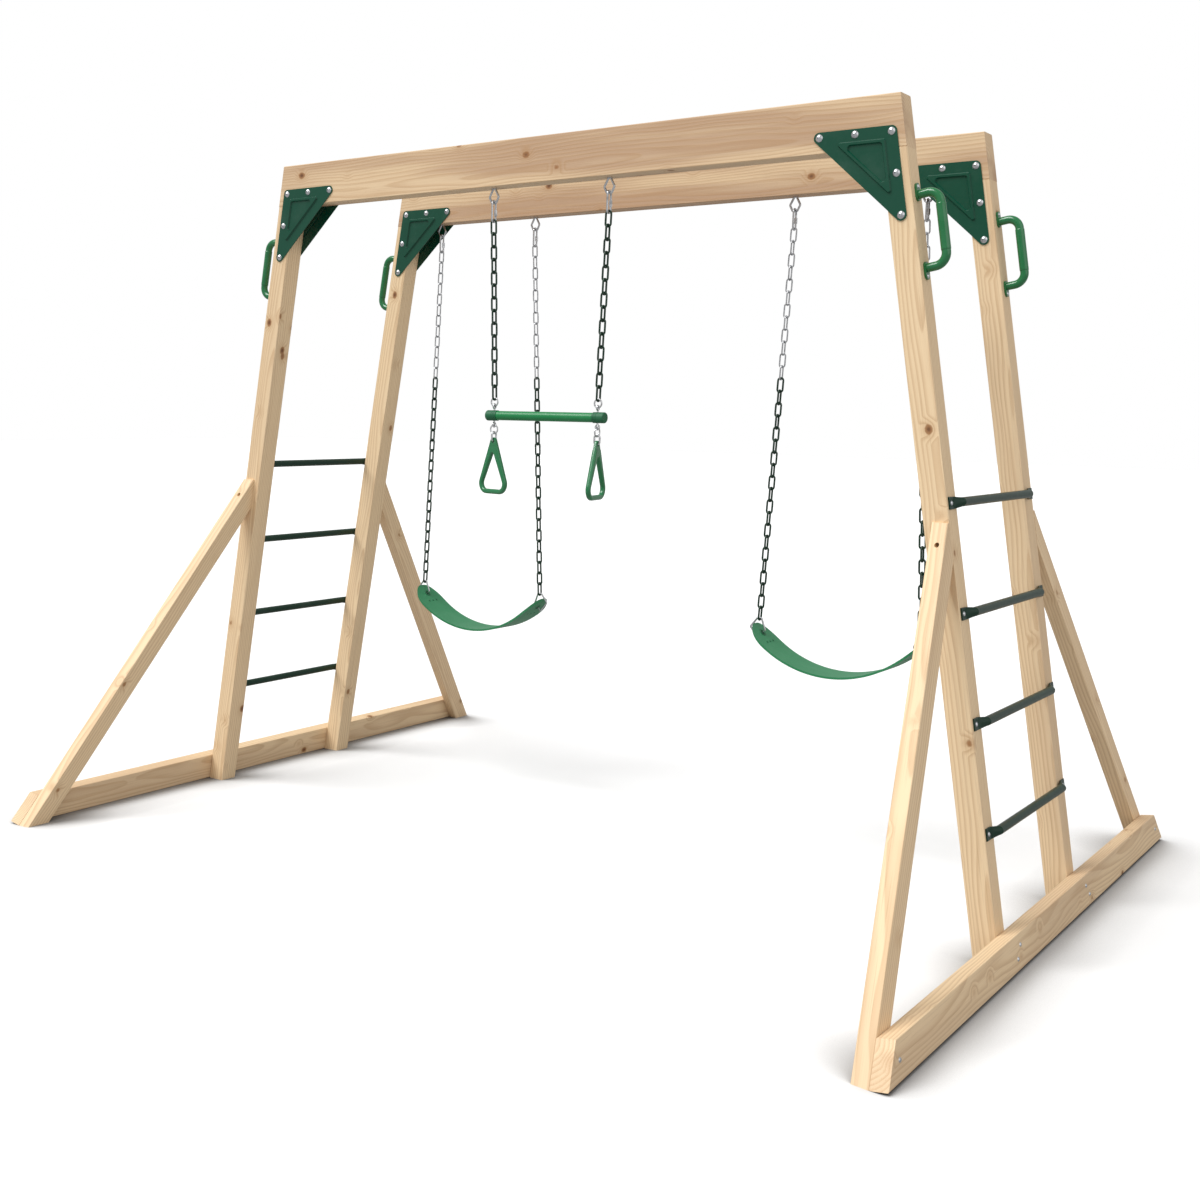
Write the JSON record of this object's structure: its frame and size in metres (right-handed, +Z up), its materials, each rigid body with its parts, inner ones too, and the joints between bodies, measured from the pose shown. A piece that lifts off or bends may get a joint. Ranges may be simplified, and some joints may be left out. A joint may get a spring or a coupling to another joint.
{
  "type": "swing set",
  "caption": "Timber A-frame swing set with belt swings on chains, a trapeze bar with hand rings, ladder rungs in the end frames and grab handles.",
  "frame": {"origin": "on the floor under the middle of the frame", "axes": "+X along the beams, -Y is the front with the trapeze, +Z up"},
  "size_m": [3.1494, 2.5, 2.3],
  "materials": {
    "softwood": "planed and oiled softwood with knots and heartwood bands",
    "plate_paint": "satin powder coat",
    "handle_plastic": "moulded, glossy",
    "rung_paint": "gloss powder coat",
    "zinc_steel": "bright zinc plate",
    "chain_coat": "soft dipped coat",
    "belt_plastic": "flexible satin plastic",
    "bar_plastic": "satin coat over a tube",
    "cap_plastic": "ribbed moulded caps",
    "stirrup_plastic": "moulded, glossy",
    "ring_steel": "bright plated wire"
  },
  "bodies": {
    "frame": {"base_rail_left": "softwood", "base_rail_right": "softwood", "brace_front_left": "softwood", "brace_front_right": "softwood", "brace_rear_left": "softwood", "brace_rear_right": "softwood", "eye_screws": "zinc_steel", "front_beam": "softwood", "grab_handle_front_left": "handle_plastic", "grab_handle_front_right": "handle_plastic", "grab_handle_rear_left": "handle_plastic", "grab_handle_rear_right": "handle_plastic", "plate_bolts": "zinc_steel", "plate_front_left_inner": "plate_paint", "plate_front_left_outer": "plate_paint", "plate_front_right_inner": "plate_paint", "plate_front_right_outer": "plate_paint", "plate_nuts": "zinc_steel", "plate_rear_left_inner": "plate_paint", "plate_rear_left_outer": "plate_paint", "plate_rear_right_inner": "plate_paint", "plate_rear_right_outer": "plate_paint", "post_front_left": "softwood", "post_front_right": "softwood", "post_rear_left": "softwood", "post_rear_right": "softwood", "rail_screws": "zinc_steel", "rear_beam": "softwood", "rung_left_1": "rung_paint", "rung_left_2": "rung_paint", "rung_left_3": "rung_paint", "rung_left_4": "rung_paint", "rung_right_1": "rung_paint", "rung_right_2": "rung_paint", "rung_right_3": "rung_paint", "rung_right_4": "rung_paint", "timber_screws": "zinc_steel"},
    "swing_left": {"swing_left_quick_links": "zinc_steel", "swing_left_zinc_chains": "zinc_steel", "swing_left_coated_chains": "chain_coat"},
    "swing_left_seat": {"swing_left_belt_seat": "belt_plastic", "swing_left_shackles": "zinc_steel"},
    "swing_right": {"swing_right_quick_links": "zinc_steel", "swing_right_zinc_chains": "zinc_steel", "swing_right_coated_chains": "chain_coat"},
    "swing_right_seat": {"swing_right_belt_seat": "belt_plastic", "swing_right_shackles": "zinc_steel"},
    "trapeze": {"trapeze_quick_links": "zinc_steel", "trapeze_chains": "chain_coat", "trapeze_upper_rings": "ring_steel", "trapeze_bar": "bar_plastic", "trapeze_end_caps": "cap_plastic", "trapeze_pins": "ring_steel"},
    "hand_ring_left_link": {"hand_ring_left_round_ring": "ring_steel"},
    "hand_ring_left": {"hand_ring_left_strap": "ring_steel", "hand_ring_left_stirrup": "stirrup_plastic"},
    "hand_ring_right_link": {"hand_ring_right_round_ring": "ring_steel"},
    "hand_ring_right": {"hand_ring_right_strap": "ring_steel", "hand_ring_right_stirrup": "stirrup_plastic"}
  },
  "joints": [
    {"name": "swing_left_hinge", "type": "hinge", "parent": "frame", "child": "swing_left", "pos_m": [-0.735, 0.33, 2.113], "axis": [1, 0, 0], "range_deg": [-55, 55]},
    {"name": "swing_left_seat_tilt", "type": "hinge", "parent": "swing_left", "child": "swing_left_seat", "pos_m": [-0.735, 0.33, 0.76624], "axis": [1, 0, 0], "range_deg": [-30, 30]},
    {"name": "swing_right_hinge", "type": "hinge", "parent": "frame", "child": "swing_right", "pos_m": [0.735, 0.33, 2.113], "axis": [1, 0, 0], "range_deg": [-55, 55]},
    {"name": "swing_right_seat_tilt", "type": "hinge", "parent": "swing_right", "child": "swing_right_seat", "pos_m": [0.735, 0.33, 0.76624], "axis": [1, 0, 0], "range_deg": [-30, 30]},
    {"name": "trapeze_hinge", "type": "hinge", "parent": "frame", "child": "trapeze", "pos_m": [0, -0.33, 2.113], "axis": [1, 0, 0], "range_deg": [-50, 50]},
    {"name": "hand_ring_left_sideways", "type": "hinge", "parent": "trapeze", "child": "hand_ring_left_link", "pos_m": [-0.199, -0.33, 1.40019], "axis": [0, 1, 0], "range_deg": [-40, 40]},
    {"name": "hand_ring_left_swing", "type": "hinge", "parent": "hand_ring_left_link", "child": "hand_ring_left", "pos_m": [-0.199, -0.33, 1.37779], "axis": [1, 0, 0], "range_deg": [-60, 60]},
    {"name": "hand_ring_right_swing", "type": "hinge", "parent": "trapeze", "child": "hand_ring_right_link", "pos_m": [0.199, -0.33, 1.40019], "axis": [1, 0, 0], "range_deg": [-45, 45]},
    {"name": "hand_ring_right_sideways", "type": "hinge", "parent": "hand_ring_right_link", "child": "hand_ring_right", "pos_m": [0.199, -0.33, 1.37779], "axis": [0, 1, 0], "range_deg": [-40, 40]}
  ]
}
